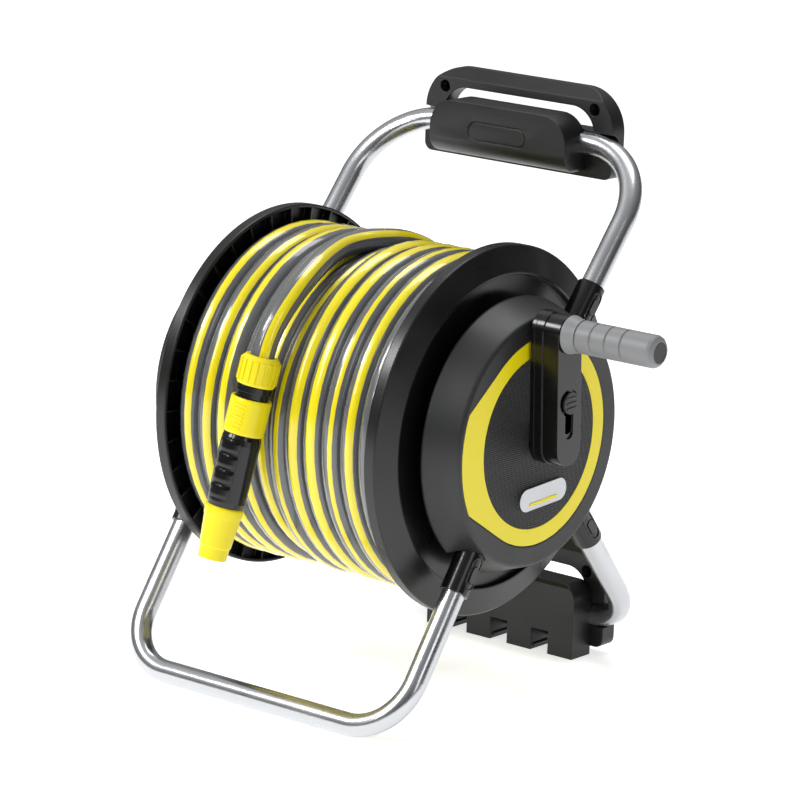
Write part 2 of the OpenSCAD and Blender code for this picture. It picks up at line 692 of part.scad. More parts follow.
// Plate that closes the back of the hollow arm
module crank_back() color("#19191a") place() parked() difference() {
    plate_x(arm_x, arm_x + 4) slot_shape(arm_half_w + 1, 0, crank_r);
    rod_x(shaft_r, arm_x - 1, arm_x + 5);
    translate([0, 0, crank_r]) rod_x(pin_d / 2, arm_x + 2, arm_x + 5);
}

module crank_bolt() color("#8f9296") place() parked() {
    rod_x(3, arm_x - 10, arm_x + 14.5, small);
    rod_x(6, arm_x + 14.5, arm_x + 18.5, 6);
}

module grip_pin() color("#9a9da1") place() parked() translate([0, 0, crank_r]) {
    rod_x(pin_d / 2, arm_x + 2, grip_end_x - 8);
    rod_x(pin_d / 2 + 3, grip_end_x - 8, grip_end_x - 6);
}

module grip() color("#85878a") place() parked() translate([0, 0, crank_r]) {
    r = grip_d / 2;
    grooves = [for (i = [0 : 3]) grip_x + 13 + i * 15.5];
    groove_points = [for (g = grooves) each [[r, g - 1], [r - 0.9, g - 0.4], [r - 0.9, g + 0.4], [r, g + 1]]];
    bore = pin_d / 2 + shaft_gap;
    lathe_x(concat(
        [[bore, grip_x], [r - 1.6, grip_x], [r, grip_x + 1.6]],
        groove_points,
        [[r, grip_end_x - 5], [r - 1, grip_end_x - 2.4], [r - 3.6, grip_end_x], [r - 5, grip_end_x],
         [r - 5, grip_end_x - 8.6], [bore, grip_end_x - 8.6]]));
}

module grip_cap() color("#2c2c2e") place() parked() translate([0, 0, crank_r])
    rod_x(grip_d / 2 - 5, grip_end_x - 3, grip_end_x - 0.3);

// Sliding latch in the keyhole slot of the arm
module latch_slider() color("#232324") place() parked() translate([0, 0, latch_z]) {
    rod_x(stem_r, arm_out_x - arm_wall - 2, arm_out_x + 0.5);
    rod_x(latch_head_r, arm_out_x + fit, arm_out_x + 2.4);
    plate_x(arm_out_x + 2.3, arm_out_x + 3.1)
        for (z = [-4.5, 0, 4.5]) translate([-6, z - 0.8]) square([12, 1.6]);
    plate_x(arm_out_x - arm_wall - 4.6, arm_out_x - arm_wall - fit)
        translate([-9, -8]) square([18, 16]);
}

// ---- Hose, connector and nozzle ----

module hose_coil() color("#6d6f72") place() ring_x(bundle_d / 2, core_r + 0.2, -rim_x + 2, rim_x - 2);

function unit(v) = v / norm(v);
function heading(points, i) = unit(points[min(i + 1, len(points) - 1)] - points[max(i - 1, 0)]);
function ring_at(centre, dir, r, sides) =
    let (side_axis = unit(cross([1, 0, 0], dir)), other_axis = cross(dir, side_axis))
    [for (k = [0 : sides - 1]) centre + r * (cos(k * 360 / sides) * side_axis + sin(k * 360 / sides) * other_axis)];

module sweep(points, r, sides) {
    count = len(points);
    rings = [for (i = [0 : count - 1]) each ring_at(points[i], heading(points, i), r, sides)];
    walls = [for (i = [0 : count - 2]) for (k = [0 : sides - 1])
        let (a = i * sides + k, b = i * sides + (k + 1) % sides) [a, b, b + sides, a + sides]];
    start_cap = [[for (k = [sides - 1 : -1 : 0]) k]];
    end_cap = [[for (k = [0 : sides - 1]) (count - 1) * sides + k]];
    polyhedron(rings, [for (f = concat(walls, start_cap, end_cap)) [for (k = [len(f) - 1 : -1 : 0]) f[k]]]);
}

// Only the part of the free end that stands proud of the wound ring
module hose_end() color("#6d6f72") place() difference() {
    sweep(HOSE_ROUTE, hose_r, 12);
    ring_x(bundle_d / 2 + 0.1, core_r, -rim_x, rim_x);
}

module hose_nut() color("#f2e018") {
    lathe_nozzle([
        [hose_r + 0.4, 0], [nut_r - 3.5, 0], [nut_r - 0.8, 3], [nut_r - 0.8, 23], [nut_r - 1.6, 25],
        [13.6, 25], [13.6, 15.2], [hose_r + 0.4, 15.2]]);
    place() nozzle_frame() for (i = [0 : 17]) rotate([0, 0, i * 20]) translate([nut_r - 3, -1.4, 3.7])
        cube([3, 2.8, 18.6]);
}

module connector_body() color("#161617") lathe_nozzle([
    [6, 15.3], [13.3, 15.3], [13.3, 25.4], [15.8, 25.4], [15.8, sleeve_z - sleeve_travel - 1.4],
    [14.2, sleeve_z - sleeve_travel - 1.4], [14.2, sleeve_z - 0.4], [12.8, sleeve_z - 0.4],
    [12.8, 64], [6, 64]]);

module connector_sleeve() color("#f2e018") lathe_nozzle([
    [14.6, sleeve_z], [17, sleeve_z], [17.5, sleeve_z + 1.6], [17.5, 65], [17, 67],
    [13.2, 67], [13.2, sleeve_z + 4.6], [14.6, sleeve_z + 4.6]]);

module nozzle_body() color("#1b1b1c") lathe_nozzle([
    [6, 64.2], [12.6, 64.2], [12.6, 67.4], [15.2, 67.4], [16.6, 71], [17, 76], [16.2, 126], [15.4, 130],
    [11, 130], [11, 160], [6, 160]]);

module nozzle_tip() color("#f2e018") lathe_nozzle([
    [11.05, 130.4], [15.4, 130.4], [16, 133], [15.6, 140], [13.6, 165], [12.8, 166.4], [12.3, 176.5],
    [7, 176.5], [7, 161], [11.05, 161]]);

module nozzle_valve() color("#f2e018") lathe_nozzle([[0, 150], [5.9, 150], [5.9, 158], [3, 168], [0, 168]]);

top_tube();
front_foot_tube();
rear_foot_tube();
right_carrier();
left_carrier();
right_cover();
left_cover();
coloured_ring();
right_face_disc();
left_face_disc();
badge_plate();
badge_bar();
right_bush();
left_bush();
tube_snap_buttons();
right_cover_screws();
left_cover_screws();
top_bracket_loop();
top_bracket_cover();
top_bracket_screws();
rear_bracket_loop();
accessory_holder();
rear_bracket_screws();
inlet_body();
inlet_elbow();
inlet_nipple();
elbow_seal();
drum_core();
left_flange();
right_flange();
drum_screws();
crank_shaft();
water_shaft();
shaft_seals();
hose_tail();
tail_clamp();
crank_arm();
crank_back();
crank_bolt();
grip_pin();
grip();
grip_cap();
latch_slider();
hose_coil();
hose_end();
hose_nut();
connector_body();
connector_sleeve();
nozzle_body();
nozzle_tip();
nozzle_valve();
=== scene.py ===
# %% [markdown]
# # Garden hose reel on a bent tube frame
#
# A storage reel for 20 m of garden hose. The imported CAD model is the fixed
# frame: it already has every rigid part at its real size. This lesson gives
# the parts their finishes, winds the hose, and adds the small moulded details
# that a plain solid lacks.

# %% Load the frame
import json
import math

import bmesh
import bpy
import numpy as np
from mathutils import Matrix, Vector


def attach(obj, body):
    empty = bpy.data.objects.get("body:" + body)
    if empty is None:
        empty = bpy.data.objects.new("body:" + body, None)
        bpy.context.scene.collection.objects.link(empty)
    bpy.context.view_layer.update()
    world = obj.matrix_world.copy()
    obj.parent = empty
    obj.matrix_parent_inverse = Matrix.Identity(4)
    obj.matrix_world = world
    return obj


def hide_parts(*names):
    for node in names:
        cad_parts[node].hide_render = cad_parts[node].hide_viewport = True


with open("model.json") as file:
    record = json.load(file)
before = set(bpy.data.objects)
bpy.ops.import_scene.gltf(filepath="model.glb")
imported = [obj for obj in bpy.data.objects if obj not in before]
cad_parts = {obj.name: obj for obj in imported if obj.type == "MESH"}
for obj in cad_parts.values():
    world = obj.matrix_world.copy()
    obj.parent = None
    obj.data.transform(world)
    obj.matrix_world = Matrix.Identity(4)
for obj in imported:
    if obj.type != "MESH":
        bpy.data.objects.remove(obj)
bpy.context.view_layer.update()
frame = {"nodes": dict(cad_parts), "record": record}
nodes = frame["nodes"]

# %% [markdown]
# The drum centre is the natural place to measure from, because the hose, the
# covers and the crank all sit around the axle. `at` turns millimetres from
# that centre into metres in the row frame.

# %% Where things are
MM = 0.001
DRUM_CENTRE = Vector((-47.3, -10.677, 238.0)) * MM


def at(x, y, z):
    """A point in millimetres from the drum centre, in metres in the row frame."""
    return DRUM_CENTRE + Vector((x, y, z)) * MM


print("drum centre:", tuple(round(v, 4) for v in DRUM_CENTRE))

# %% [markdown]
# The camera comes first, then the floor and the lights, so that every later
# piece can be judged in its real view. The lens is long, as for a catalogue
# picture taken from a few metres away, and its matrix is written out as three
# directions: right, up and back.

# %% Camera
lens_data = bpy.data.cameras.new("catalogue_camera")
lens_data.sensor_width = 36
lens_data.lens = 186.61
lens_data.clip_start = 0.1
lens_data.clip_end = 60
camera = bpy.data.objects.new("catalogue_camera", lens_data)
bpy.context.scene.collection.objects.link(camera)
right = Vector((0.7743, 0.6319, 0.0353)).normalized()
forward = Vector((-0.6084, 0.7585, -0.2333))
forward = (forward - right * forward.dot(right)).normalized()
up = right.cross(forward)
eye = at(2190.3, -2708.8, 841.5)
camera.matrix_world = Matrix((
    (right.x, up.x, -forward.x, eye.x),
    (right.y, up.y, -forward.y, eye.y),
    (right.z, up.z, -forward.z, eye.z),
    (0, 0, 0, 1)))
bpy.context.scene.camera = camera
print("camera distance:", round((eye - DRUM_CENTRE).length, 3), "m")

# %% [markdown]
# ## Small helpers for finishes
#
# Colours are written as sRGB hex values, the way a paint card gives them, and
# one function turns them to the linear values that the shader wants. Another
# function adds a node with its settings and its links in one line.

# %% Colour and node helpers


def linear(hex_colour):
    """The linear colour of an sRGB hex value such as #808080."""
    parts = [int(hex_colour[i:i + 2], 16) / 255 for i in (1, 3, 5)]
    return tuple(c / 12.92 if c <= 0.04045 else ((c + 0.055) / 1.055) ** 2.4 for c in parts) + (1.0,)


def add(tree, kind, inputs=None, **settings):
    """A new node: its settings come first, then each input is linked or given its value."""
    made = tree.nodes.new(kind)
    for key, value in settings.items():
        setattr(made, key, value)
    for key, value in (inputs or {}).items():
        if isinstance(value, bpy.types.NodeSocket):
            tree.links.new(value, made.inputs[key])
        else:
            made.inputs[key].default_value = value
    return made

def finish(name, colour, roughness, metallic=0.0, **shader):
    """A principled material, its node tree and its shader node."""
    material = bpy.data.materials.new(name)
    material.use_nodes = True
    surface = material.node_tree.nodes["Principled BSDF"]
    surface.inputs["Base Color"].default_value = linear(colour)
    surface.inputs["Roughness"].default_value = roughness
    surface.inputs["Metallic"].default_value = metallic
    for key, value in shader.items():
        surface.inputs[key.replace("_", " ")].default_value = value
    return material, material.node_tree, surface


print("mid grey is", [round(c, 3) for c in linear("#808080")[:3]])

# %% [markdown]
# ## Floor and light
#
# The reel stands on a white studio sheet. A real sheet is lit on its own until
# it is almost pure white, so this one glows a little as well as taking light,
# and keeps only a faint shadow near the feet. A plain plane is enough.

# %% Floor
FLOOR_HALF = 6
corners = [(x * FLOOR_HALF, y * FLOOR_HALF, 0) for x, y in ((-1, -1), (1, -1), (1, 1), (-1, 1))]
floor_data = bpy.data.meshes.new("studio_floor")
floor_data.from_pydata(corners, [], [(0, 1, 2, 3)])
floor = bpy.data.objects.new("studio_floor", floor_data)
bpy.context.scene.collection.objects.link(floor)
sheet_white, tree, surface = finish("white_studio_sheet", "#FAFAFA", 0.6, Emission_Strength=0.66)
surface.inputs["Emission Color"].default_value = linear("#FFFFFF")
floor_data.materials.append(sheet_white)
bpy.context.scene.view_settings.view_transform = "Standard"
print("floor side:", 2 * FLOOR_HALF, "m")

# %% [markdown]
# Glossy black plastic shows what is around it more than its own colour. So
# the room is light overhead, dark near the horizon, and darker on the right,
# which gives each rounded part a light side and a dark side. Three softboxes
# and a narrow strip add the bright lines along the hose and the tubes.

# %% Room and softboxes
world = bpy.data.worlds.new("studio")
bpy.context.scene.world = world
world.use_nodes = True
sky = world.node_tree
direction = add(sky, "ShaderNodeSeparateXYZ", {0: add(sky, "ShaderNodeTexCoord").outputs["Generated"]})
height = add(sky, "ShaderNodeMapRange", {"Value": direction.outputs[2], "From Min": -0.05, "From Max": 0.8,
                                         "To Min": 0.03, "To Max": 0.55})
across = add(sky, "ShaderNodeMapRange", {"Value": direction.outputs[0], "From Min": -1.0, "From Max": 1.0,
                                         "To Min": 1.3, "To Max": 0.45})
strength = add(sky, "ShaderNodeMath", {0: height.outputs[0], 1: across.outputs[0]}, operation="MULTIPLY")
sky.links.new(strength.outputs[0], sky.nodes["Background"].inputs["Strength"])
sky.nodes["Background"].inputs["Color"].default_value = linear("#FFFFFF")


def softbox(name, place, size, power):
    """A rectangular lamp at a place in metres that faces the reel."""
    light = bpy.data.lights.new(name, "AREA")
    light.shape = "RECTANGLE"
    light.size, light.size_y = size
    light.energy = power
    lamp = bpy.data.objects.new(name, light)
    lamp.location = place
    lamp.rotation_euler = (DRUM_CENTRE - Vector(place)).to_track_quat("-Z", "Y").to_euler()
    bpy.context.scene.collection.objects.link(lamp)


softbox("key_softbox", (-1.3, -1.6, 1.9), (0.7, 0.7), 26)
softbox("strip_softbox", (-0.5, -1.9, 1.6), (0.14, 1.3), 17)
softbox("fill_softbox", (2.3, -0.9, 1.3), (0.5, 1.6), 6)
softbox("top_softbox", (-0.2, 0.6, 2.2), (1.6, 0.8), 18)
print("softboxes:", len(bpy.data.lights))

# %% [markdown]
# ## The hose
#
# The hose is 20 m of 20.4 mm PVC hose, wound by hand. It starts at the pipe
# inside the drum core, makes one loose layer and two full layers, and its free
# end comes over the top and hangs down the front with the nozzle on it.
# A tube along a line of points is the right way: the same rings give the
# surface, the length that is measured, and the map for the stripes.

# %% Path of the hose
HOSE_D = 20.4
TURN_POINTS = 56
HOSE_ROUTE = [
    (-3, 104, 90.4), (-3.5, 88, 107.5), (-4, 70.5, 121), (-4.8, 52, 131.4), (-5.8, 34, 138.2),
    (-7, 17, 142.4), (-9, 1, 144.6), (-12.3, -13, 145.6), (-15.6, -28, 145.2),
    (-16.6, -45, 143.4), (-14, -64, 139.4), (-10.5, -81, 134.6), (-7, -97, 128.6),
    (-4.5, -111.5, 121.6), (-3.2, -124.5, 113), (-3.2, -136, 102.8),
    (-4, -145.3, 91.4), (-5, -152, 79), (-6, -156.1, 66), (-7.5, -158.7, 53)]
# Radii of the three layers, and where each turn of the outer layer crosses the front.
LAYER_R = (102.25, 119.6, 137.75)
LEFT_FRONTS = (-98.8, -78.6, -58.4, -38.2, -18.2)
RIGHT_FRONTS = (98.9, 79.1, 59.0, 38.9, 18.8, 0.0)
LOOSE_TURNS = 3.4
FULL_TURNS = 9.75
print("layers at", LAYER_R, "mm from the axle")

# %% [markdown]
# A hand-wound coil is not a perfect helix. A list of keys says where each turn
# lies and how high. Two turns sink under the strand that crosses them, and the
# keys are joined by straight runs, then softened. A helix formula would be
# shorter, but every turn would be the same.

# %% Keys of the winding


def winding_keys():
    """(turns since the start, distance along the axle, radius), from the bottom of the drum."""
    inner, middle, outer = LAYER_R
    climb = LOOSE_TURNS + 0.35
    keys = [(0, -88, inner), (0.4, -90, inner), (LOOSE_TURNS, 97, inner), (climb, 99.4, middle),
            (climb + FULL_TURNS, -99.4, middle)]
    front = math.ceil(climb + FULL_TURNS + 0.3 - 0.75) + 0.75
    keys.append((front - 0.45, -99.2, outer))
    for i, x in enumerate(LEFT_FRONTS):
        low = i == len(LEFT_FRONTS) - 1
        if i:
            keys.append((front - 0.5, x + 2.5, 127 if low else outer))
            keys.append((front - 0.22, x + 1, 127 if low else outer))
        keys += [(front, x, 134 if low else outer), (front + 0.14, x, 134 if low else outer)]
        front += 1
    keys += [(front - 0.5, 68, 127), (front - 0.36, 99, 127.5)]
    for i, x in enumerate(RIGHT_FRONTS):
        low = i == len(RIGHT_FRONTS) - 1
        if i:
            keys.append((front - 0.5, x + (7.5 if low else 0.5 + 0.5 * i), 129 if low else outer))
        keys.append((front - 0.2, x + (6 if low else 0.25 * i), 133 if low else outer))
        keys += [(front, x, 136 if low else outer), (front + 0.14, x, outer)]
        front += 1
    keys += [(front - 0.5, -3, 137), (front - 0.386, -3, 137.8)]
    return keys


print("winding keys:", len(winding_keys()))

# %% [markdown]
# The keys become points: 56 for each turn, so that the hose looks round. A
# short moving average takes out the corners where one run meets the next.

# %% Points of the winding
SOFTEN = 5


def wound_points():
    """The wound part of the hose, as points in millimetres from the drum centre."""
    keys = np.array(winding_keys())
    turns = np.arange(0, keys[-1, 0] * TURN_POINTS + 0.5) / TURN_POINTS
    kernel = np.hanning(2 * SOFTEN + 3)[1:-1]
    kernel /= kernel.sum()
    soft = []
    for column in (1, 2):
        values = np.interp(turns, keys[:, 0], keys[:, column])
        padded = np.pad(values, SOFTEN, mode="edge")
        soft.append(np.convolve(padded, kernel, "valid"))
    angle = np.radians(180 - 360 * turns)
    return np.column_stack([soft[0], soft[1] * np.sin(angle), soft[1] * np.cos(angle)])


winding = wound_points()
print("points in the winding:", len(winding))

# %% [markdown]
# The free end follows the same route as the CAD solid that it replaces, so the
# nozzle meets it. A Catmull-Rom line passes through every given point, which a
# Bezier or a NURBS curve would not do.

# %% The free end


def smooth_line(points, steps):
    """Catmull-Rom line through the points."""
    first, last = 2 * np.array(points[0]) - points[1], 2 * np.array(points[-1]) - points[-2]
    p = np.array([first, *points, last], float)
    line = []
    for i in range(1, len(p) - 2):
        for k in range(steps):
            t = k / steps
            line.append(0.5 * (2 * p[i] + (p[i + 1] - p[i - 1]) * t
                               + (2 * p[i - 1] - 5 * p[i] + 4 * p[i + 1] - p[i + 2]) * t ** 2
                               + (3 * p[i] - 3 * p[i + 1] + p[i + 2] - p[i - 1]) * t ** 3))
    line.append(p[-2])
    return np.array(line)


free_end = smooth_line(HOSE_ROUTE, 3)
gap = np.linalg.norm(winding - free_end[0], axis=1)
winding = winding[: int(np.argmin(gap)) - 1]
hose_line = np.vstack([winding, free_end])
hose_length = float(np.linalg.norm(np.diff(hose_line, axis=0), axis=1).sum()) * MM
print("hose line:", len(hose_line), "points,", round(hose_length, 3), "m; join gap",
      round(float(np.linalg.norm(winding[-1] - free_end[0])), 2), "mm")

# %% [markdown]
# The tube is a ring of points at each step of the line. The ring is set by the
# direction away from the axle, so the map knows which side faces out. A curve
# with a bevel would give the same surface, but not that map.

# %% Tube mesh along the path
END_TWIST = 0.07
HOSE_SIDES = 20


def tube_along(name, line, radius, sides):
    """A closed tube along a line in millimetres. Its map has the length in metres as u and
    the turn as v, with v = 0 where the surface faces away from the axle."""
    ahead = np.gradient(line, axis=0)
    ahead /= np.linalg.norm(ahead, axis=1)[:, None]
    out = line * np.array([0, 1, 1])
    out -= ahead * (out * ahead).sum(1)[:, None]
    out /= np.linalg.norm(out, axis=1)[:, None]
    side = np.cross(out, ahead)
    along = np.concatenate([[0], np.cumsum(np.linalg.norm(np.diff(line, axis=0), axis=1))]) * MM
    twist = END_TWIST * np.clip((along - along[-1] + 0.5) / 0.3, 0, 1)
    mesh = bmesh.new()
    uv = mesh.loops.layers.uv.new("hose_map")
    rings = []
    for point, o, s in zip(line, out, side):
        ring = []
        for k in range(sides):
            a = 2 * math.pi * k / sides
            ring.append(mesh.verts.new(at(*(point + radius * (math.cos(a) * o + math.sin(a) * s)))))
        rings.append(ring)
    for i in range(len(rings) - 1):
        for k in range(sides):
            n = (k + 1) % sides
            face = mesh.faces.new((rings[i][k], rings[i + 1][k], rings[i + 1][n], rings[i][n]))
            face.smooth = True
            ends = ((i, k), (i + 1, k), (i + 1, k + 1), (i, k + 1))
            for loop, (row, turn) in zip(face.loops, ends):
                loop[uv].uv = (along[row], turn / sides - twist[row])
    mesh.faces.new(list(reversed(rings[0])))
    mesh.faces.new(rings[-1])
    bmesh.ops.recalc_face_normals(mesh, faces=mesh.faces)
    data = bpy.data.meshes.new(name)
    mesh.to_mesh(data)
    mesh.free()
    made = bpy.data.objects.new(name, data)
    bpy.context.scene.collection.objects.link(made)
    return made


hose = tube_along("garden_hose", hose_line, HOSE_D / 2, HOSE_SIDES)
print("hose faces:", len(hose.data.polygons))

# %% [markdown]
# Garden hose PVC: a soft, plasticised grey cover with yellow stripes that are
# extruded into it, so they are flush. Extrusion leaves it smooth and glossy.
# The stripes follow the length of the hose, and turn a little about it,
# because a hose always twists as it is wound. The stripes could be modelled,
# but real ones have no thickness, so the map paints them with a cosine wave.

# %% Hose finish
# Plasticised PVC, extruded: a wet-looking skin that draws a bright line along each turn.
hose_pvc, tree, surface = finish("extruded_pvc_hose", "#5E6063", 0.27, Coat_Weight=1.0, Coat_Roughness=0.07)
split = add(tree, "ShaderNodeSeparateXYZ", {0: add(tree, "ShaderNodeUVMap", uv_map="hose_map").outputs[0]})
wander = add(tree, "ShaderNodeTexNoise", {"W": split.outputs[0], "Scale": 1.1, "Detail": 1.0},
             noise_dimensions="1D")
shifted = add(tree, "ShaderNodeMath", {0: wander.outputs[0], 1: 0.16, 2: -0.135}, operation="MULTIPLY_ADD")
turned = add(tree, "ShaderNodeMath", {0: split.outputs[1], 1: shifted.outputs[0]}, operation="ADD")
doubled = add(tree, "ShaderNodeMath", {0: turned.outputs[0], 1: 4 * math.pi}, operation="MULTIPLY")
wave = add(tree, "ShaderNodeMath", {0: doubled.outputs[0]}, operation="COSINE")
widths = add(tree, "ShaderNodeTexNoise", {"W": split.outputs[0], "Scale": 0.75, "Detail": 0.0},
             noise_dimensions="1D")
edge = add(tree, "ShaderNodeMapRange", {"Value": widths.outputs[0], "From Min": 0.35, "From Max": 0.65,
                                        "To Min": 0.92, "To Max": 0.66})
proud = add(tree, "ShaderNodeMath", {0: wave.outputs[0], 1: edge.outputs[0]}, operation="SUBTRACT")
stripe = add(tree, "ShaderNodeMath", {0: proud.outputs[0], 1: 22.0, 2: 0.5}, operation="MULTIPLY_ADD",
             use_clamp=True)
colours = add(tree, "ShaderNodeMix", {"Factor": stripe.outputs[0]}, data_type="RGBA")
colours.inputs[6].default_value = linear("#5C5E61")
colours.inputs[7].default_value = linear("#EEDC00")
tree.links.new(colours.outputs[2], surface.inputs["Base Color"])
grain = add(tree, "ShaderNodeTexNoise", {"Vector": add(tree, "ShaderNodeTexCoord").outputs["Object"],
                                        "Scale": 1 / (1.1 * MM), "Detail": 2.0})
ripple = add(tree, "ShaderNodeBump", {"Height": grain.outputs[0], "Strength": 0.05, "Distance": 0.0004})
tree.links.new(ripple.outputs[0], surface.inputs["Normal"])
hose.data.materials.append(hose_pvc)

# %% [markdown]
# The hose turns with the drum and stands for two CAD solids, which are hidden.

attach(hose, "drum")
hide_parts("hose_coil", "hose_end")
print("hose declared as 20.0 m, measured", round(hose_length, 2), "m")


# %% [markdown]
# ## Finishes of the rigid parts
#
# Almost every rigid part is injection moulded. What differs is the tool: a
# polished tool gives gloss, and an etched tool gives a fine grain. One helper
# rounds the edges to the eye, adds the grain at its real size, and lets the
# roughness wander by a few hundredths, as handled plastic does.

# %% Surface detail helper
GRAIN_DEPTH_MM = 0.4
PATCH_MM = 45
SLOT_FINISH = {"hose_pvc": hose_pvc}


def moulded(slot_name, name, colour, roughness, edge_mm, grain_mm, strength, metallic=0.0):
    """A finish with rounded edges, a grain of the given size, and slowly varying roughness."""
    material, tree, surface = finish(name, colour, roughness, metallic)
    place = add(tree, "ShaderNodeTexCoord").outputs["Object"]
    rounded = add(tree, "ShaderNodeBevel", {"Radius": edge_mm * MM}, samples=6)
    grain = add(tree, "ShaderNodeTexNoise", {"Vector": place, "Scale": 1 / (grain_mm * MM), "Detail": 3.0})
    bump = add(tree, "ShaderNodeBump", {"Height": grain.outputs[0], "Strength": strength,
                                        "Distance": GRAIN_DEPTH_MM * MM, "Normal": rounded.outputs[0]})
    tree.links.new(bump.outputs[0], surface.inputs["Normal"])
    patches = add(tree, "ShaderNodeTexNoise", {"Vector": place, "Scale": 1 / (PATCH_MM * MM), "Detail": 2.0})
    worn = add(tree, "ShaderNodeMapRange", {"Value": patches.outputs[0], "From Min": 0.3, "From Max": 0.7,
                                            "To Min": roughness - 0.04, "To Max": roughness + 0.05})
    tree.links.new(worn.outputs[0], surface.inputs["Roughness"])
    SLOT_FINISH[slot_name] = material


# %% [markdown]
# The frame is drawn aluminium tube, anodised satin. It is the only large metal
# on the reel, and it shows the room as long light and dark bands. The badge is
# a thin brushed plate and the screws are zinc-plated steel.

# %% Metals
# Anodised aluminium: a soft mirror with a faint drawn texture.
moulded("tube_aluminium", "satin_anodised_aluminium", "#C2C4C7", 0.24, 0.6, 2.5, 0.08, 1.0)
# Brushed aluminium sheet: duller than the tube.
moulded("badge_metal", "brushed_aluminium_badge", "#B9BBBE", 0.34, 0.4, 1.1, 0.1, 1.0)
# Zinc plating: greyer, with a fine crystal sparkle.
moulded("fastener_steel", "zinc_plated_steel", "#9EA1A5", 0.32, 0.3, 1.1, 0.1, 1.0)
print("finishes so far:", len(SLOT_FINISH))

# %% [markdown]
# The sockets, the crank and the nozzle are polished black ABS. The brackets
# and the covers are polypropylene from an etched tool, so their black is
# greyer and their highlights are wide. The flanges lie between the two.

# %% Black and grey plastics
# Polished ABS: deep black with sharp highlights.
moulded("black_plastic", "polished_black_abs", "#090909", 0.2, 0.7, 9.0, 0.02)
# Etched polypropylene: a dull black with a fine grain.
moulded("bracket_plastic", "etched_black_polypropylene", "#0F0F10", 0.4, 1.4, 1.1, 0.2)
# Etched polypropylene, dark grey: the wide edge radius of a deep moulded bowl.
moulded("cover_plastic", "etched_grey_polypropylene", "#1A1B1C", 0.42, 3.0, 0.9, 0.25)
# Talc-filled polypropylene of the flanges: smooth, with a satin sheen.
moulded("flange", "satin_black_polypropylene", "#0C0C0D", 0.3, 1.6, 0.8, 0.08)
# Ribbed grip polypropylene: light grey and dry.
moulded("grip_plastic", "grained_grip_polypropylene", "#808183", 0.45, 1.0, 1.1, 0.25)
moulded("cap_plastic", "dark_cap_polypropylene", "#2A2A2B", 0.45, 0.8, 1.1, 0.2)
print("finishes so far:", len(SLOT_FINISH))

# %% [markdown]
# The yellow parts are coloured ABS, satin from a lightly blasted tool. The
# bushes are undyed acetal, which looks like warm porcelain, and the seals are
# nitrile rubber. These last two are inside, and show only when it is opened.

# %% Yellow plastic, acetal and rubber
# Coloured ABS: strong yellow with a soft sheen.
moulded("yellow_plastic", "satin_yellow_abs", "#EEDC00", 0.33, 0.7, 1.7, 0.08)
# Undyed acetal: milky and waxy.
moulded("bush_plastic", "natural_acetal", "#D9D8D0", 0.4, 0.5, 1.7, 0.1)
# Nitrile rubber: black and almost matt.
moulded("seal_rubber", "nitrile_rubber", "#141414", 0.6, 0.3, 1.1, 0.1)
print("finishes so far:", len(SLOT_FINISH))

# %% [markdown]
# The round face disc has a diamond knurl that is moulded in. Two sine waves at
# right angles, turned 45 degrees, give it. The real knurl is about 2 mm; it is
# drawn at 2.6 mm, because a finer one would not show.

# %% Knurled face disc
# Moulded knurl: catches the light as a fine net.
KNURL_MM = 2.6
disc_knurled, tree, surface = finish("knurled_grey_polypropylene", "#1C1D1E", 0.38)
disc_place = add(tree, "ShaderNodeMapping", {"Vector": add(tree, "ShaderNodeTexCoord").outputs["Object"],
                                             "Rotation": (math.radians(45), 0, 0)})
disc_axes = add(tree, "ShaderNodeSeparateXYZ", {0: disc_place.outputs[0]})
waves = []
for axis in (1, 2):
    phase = add(tree, "ShaderNodeMath", {0: disc_axes.outputs[axis], 1: 2 * math.pi / (KNURL_MM * MM)},
                operation="MULTIPLY")
    waves.append(add(tree, "ShaderNodeMath", {0: phase.outputs[0]}, operation="SINE").outputs[0])
knurl = add(tree, "ShaderNodeMath", {0: waves[0], 1: waves[1]}, operation="MULTIPLY")
knurl_bump = add(tree, "ShaderNodeBump", {"Height": knurl.outputs[0], "Strength": 0.9, "Distance": 1.1 * MM})
tree.links.new(knurl_bump.outputs[0], surface.inputs["Normal"])
SLOT_FINISH["disc_plastic"] = disc_knurled
print("knurl pitch:", KNURL_MM, "mm")

# %% [markdown]
# Each CAD part names the finish that it takes. The flanges share a slot with
# the sockets, but come from a duller tool, so they get their own finish.

# %% Put the finishes on the parts
for part in frame["record"]["subparts"]:
    node = nodes[part["node"]]
    node.data.materials.clear()
    node.data.materials.append(SLOT_FINISH[part["material_slot"]])
for name in ("left_flange", "right_flange"):
    nodes[name].data.materials[0] = SLOT_FINISH["flange"]

# %% [markdown]
# ## Moulded details
#
# The remaining pieces carry what the eye looks for up close: the rounded front
# cover of the handle, the long ovals on the tube sockets, the finger collar of
# the grip, and the ridges and pads of the connector and nozzle. Every piece is
# a closed mesh. One function makes it final: it applies the modifiers, smooths
# by angle, and lets it ride on its body.

# %% Shape helpers


def new_object(name, mesh):
    """An object with the mesh, its faces turned outwards."""
    data = bpy.data.meshes.new(name)
    bmesh.ops.recalc_face_normals(mesh, faces=mesh.faces)
    mesh.to_mesh(data)
    mesh.free()
    made = bpy.data.objects.new(name, data)
    bpy.context.scene.collection.objects.link(made)
    return made


def bake_shape(made):
    """Turns an object with modifiers into a plain mesh."""
    ready = bpy.data.meshes.new_from_object(made.evaluated_get(bpy.context.evaluated_depsgraph_get()))
    made.modifiers.clear()
    made.data = ready
    return made


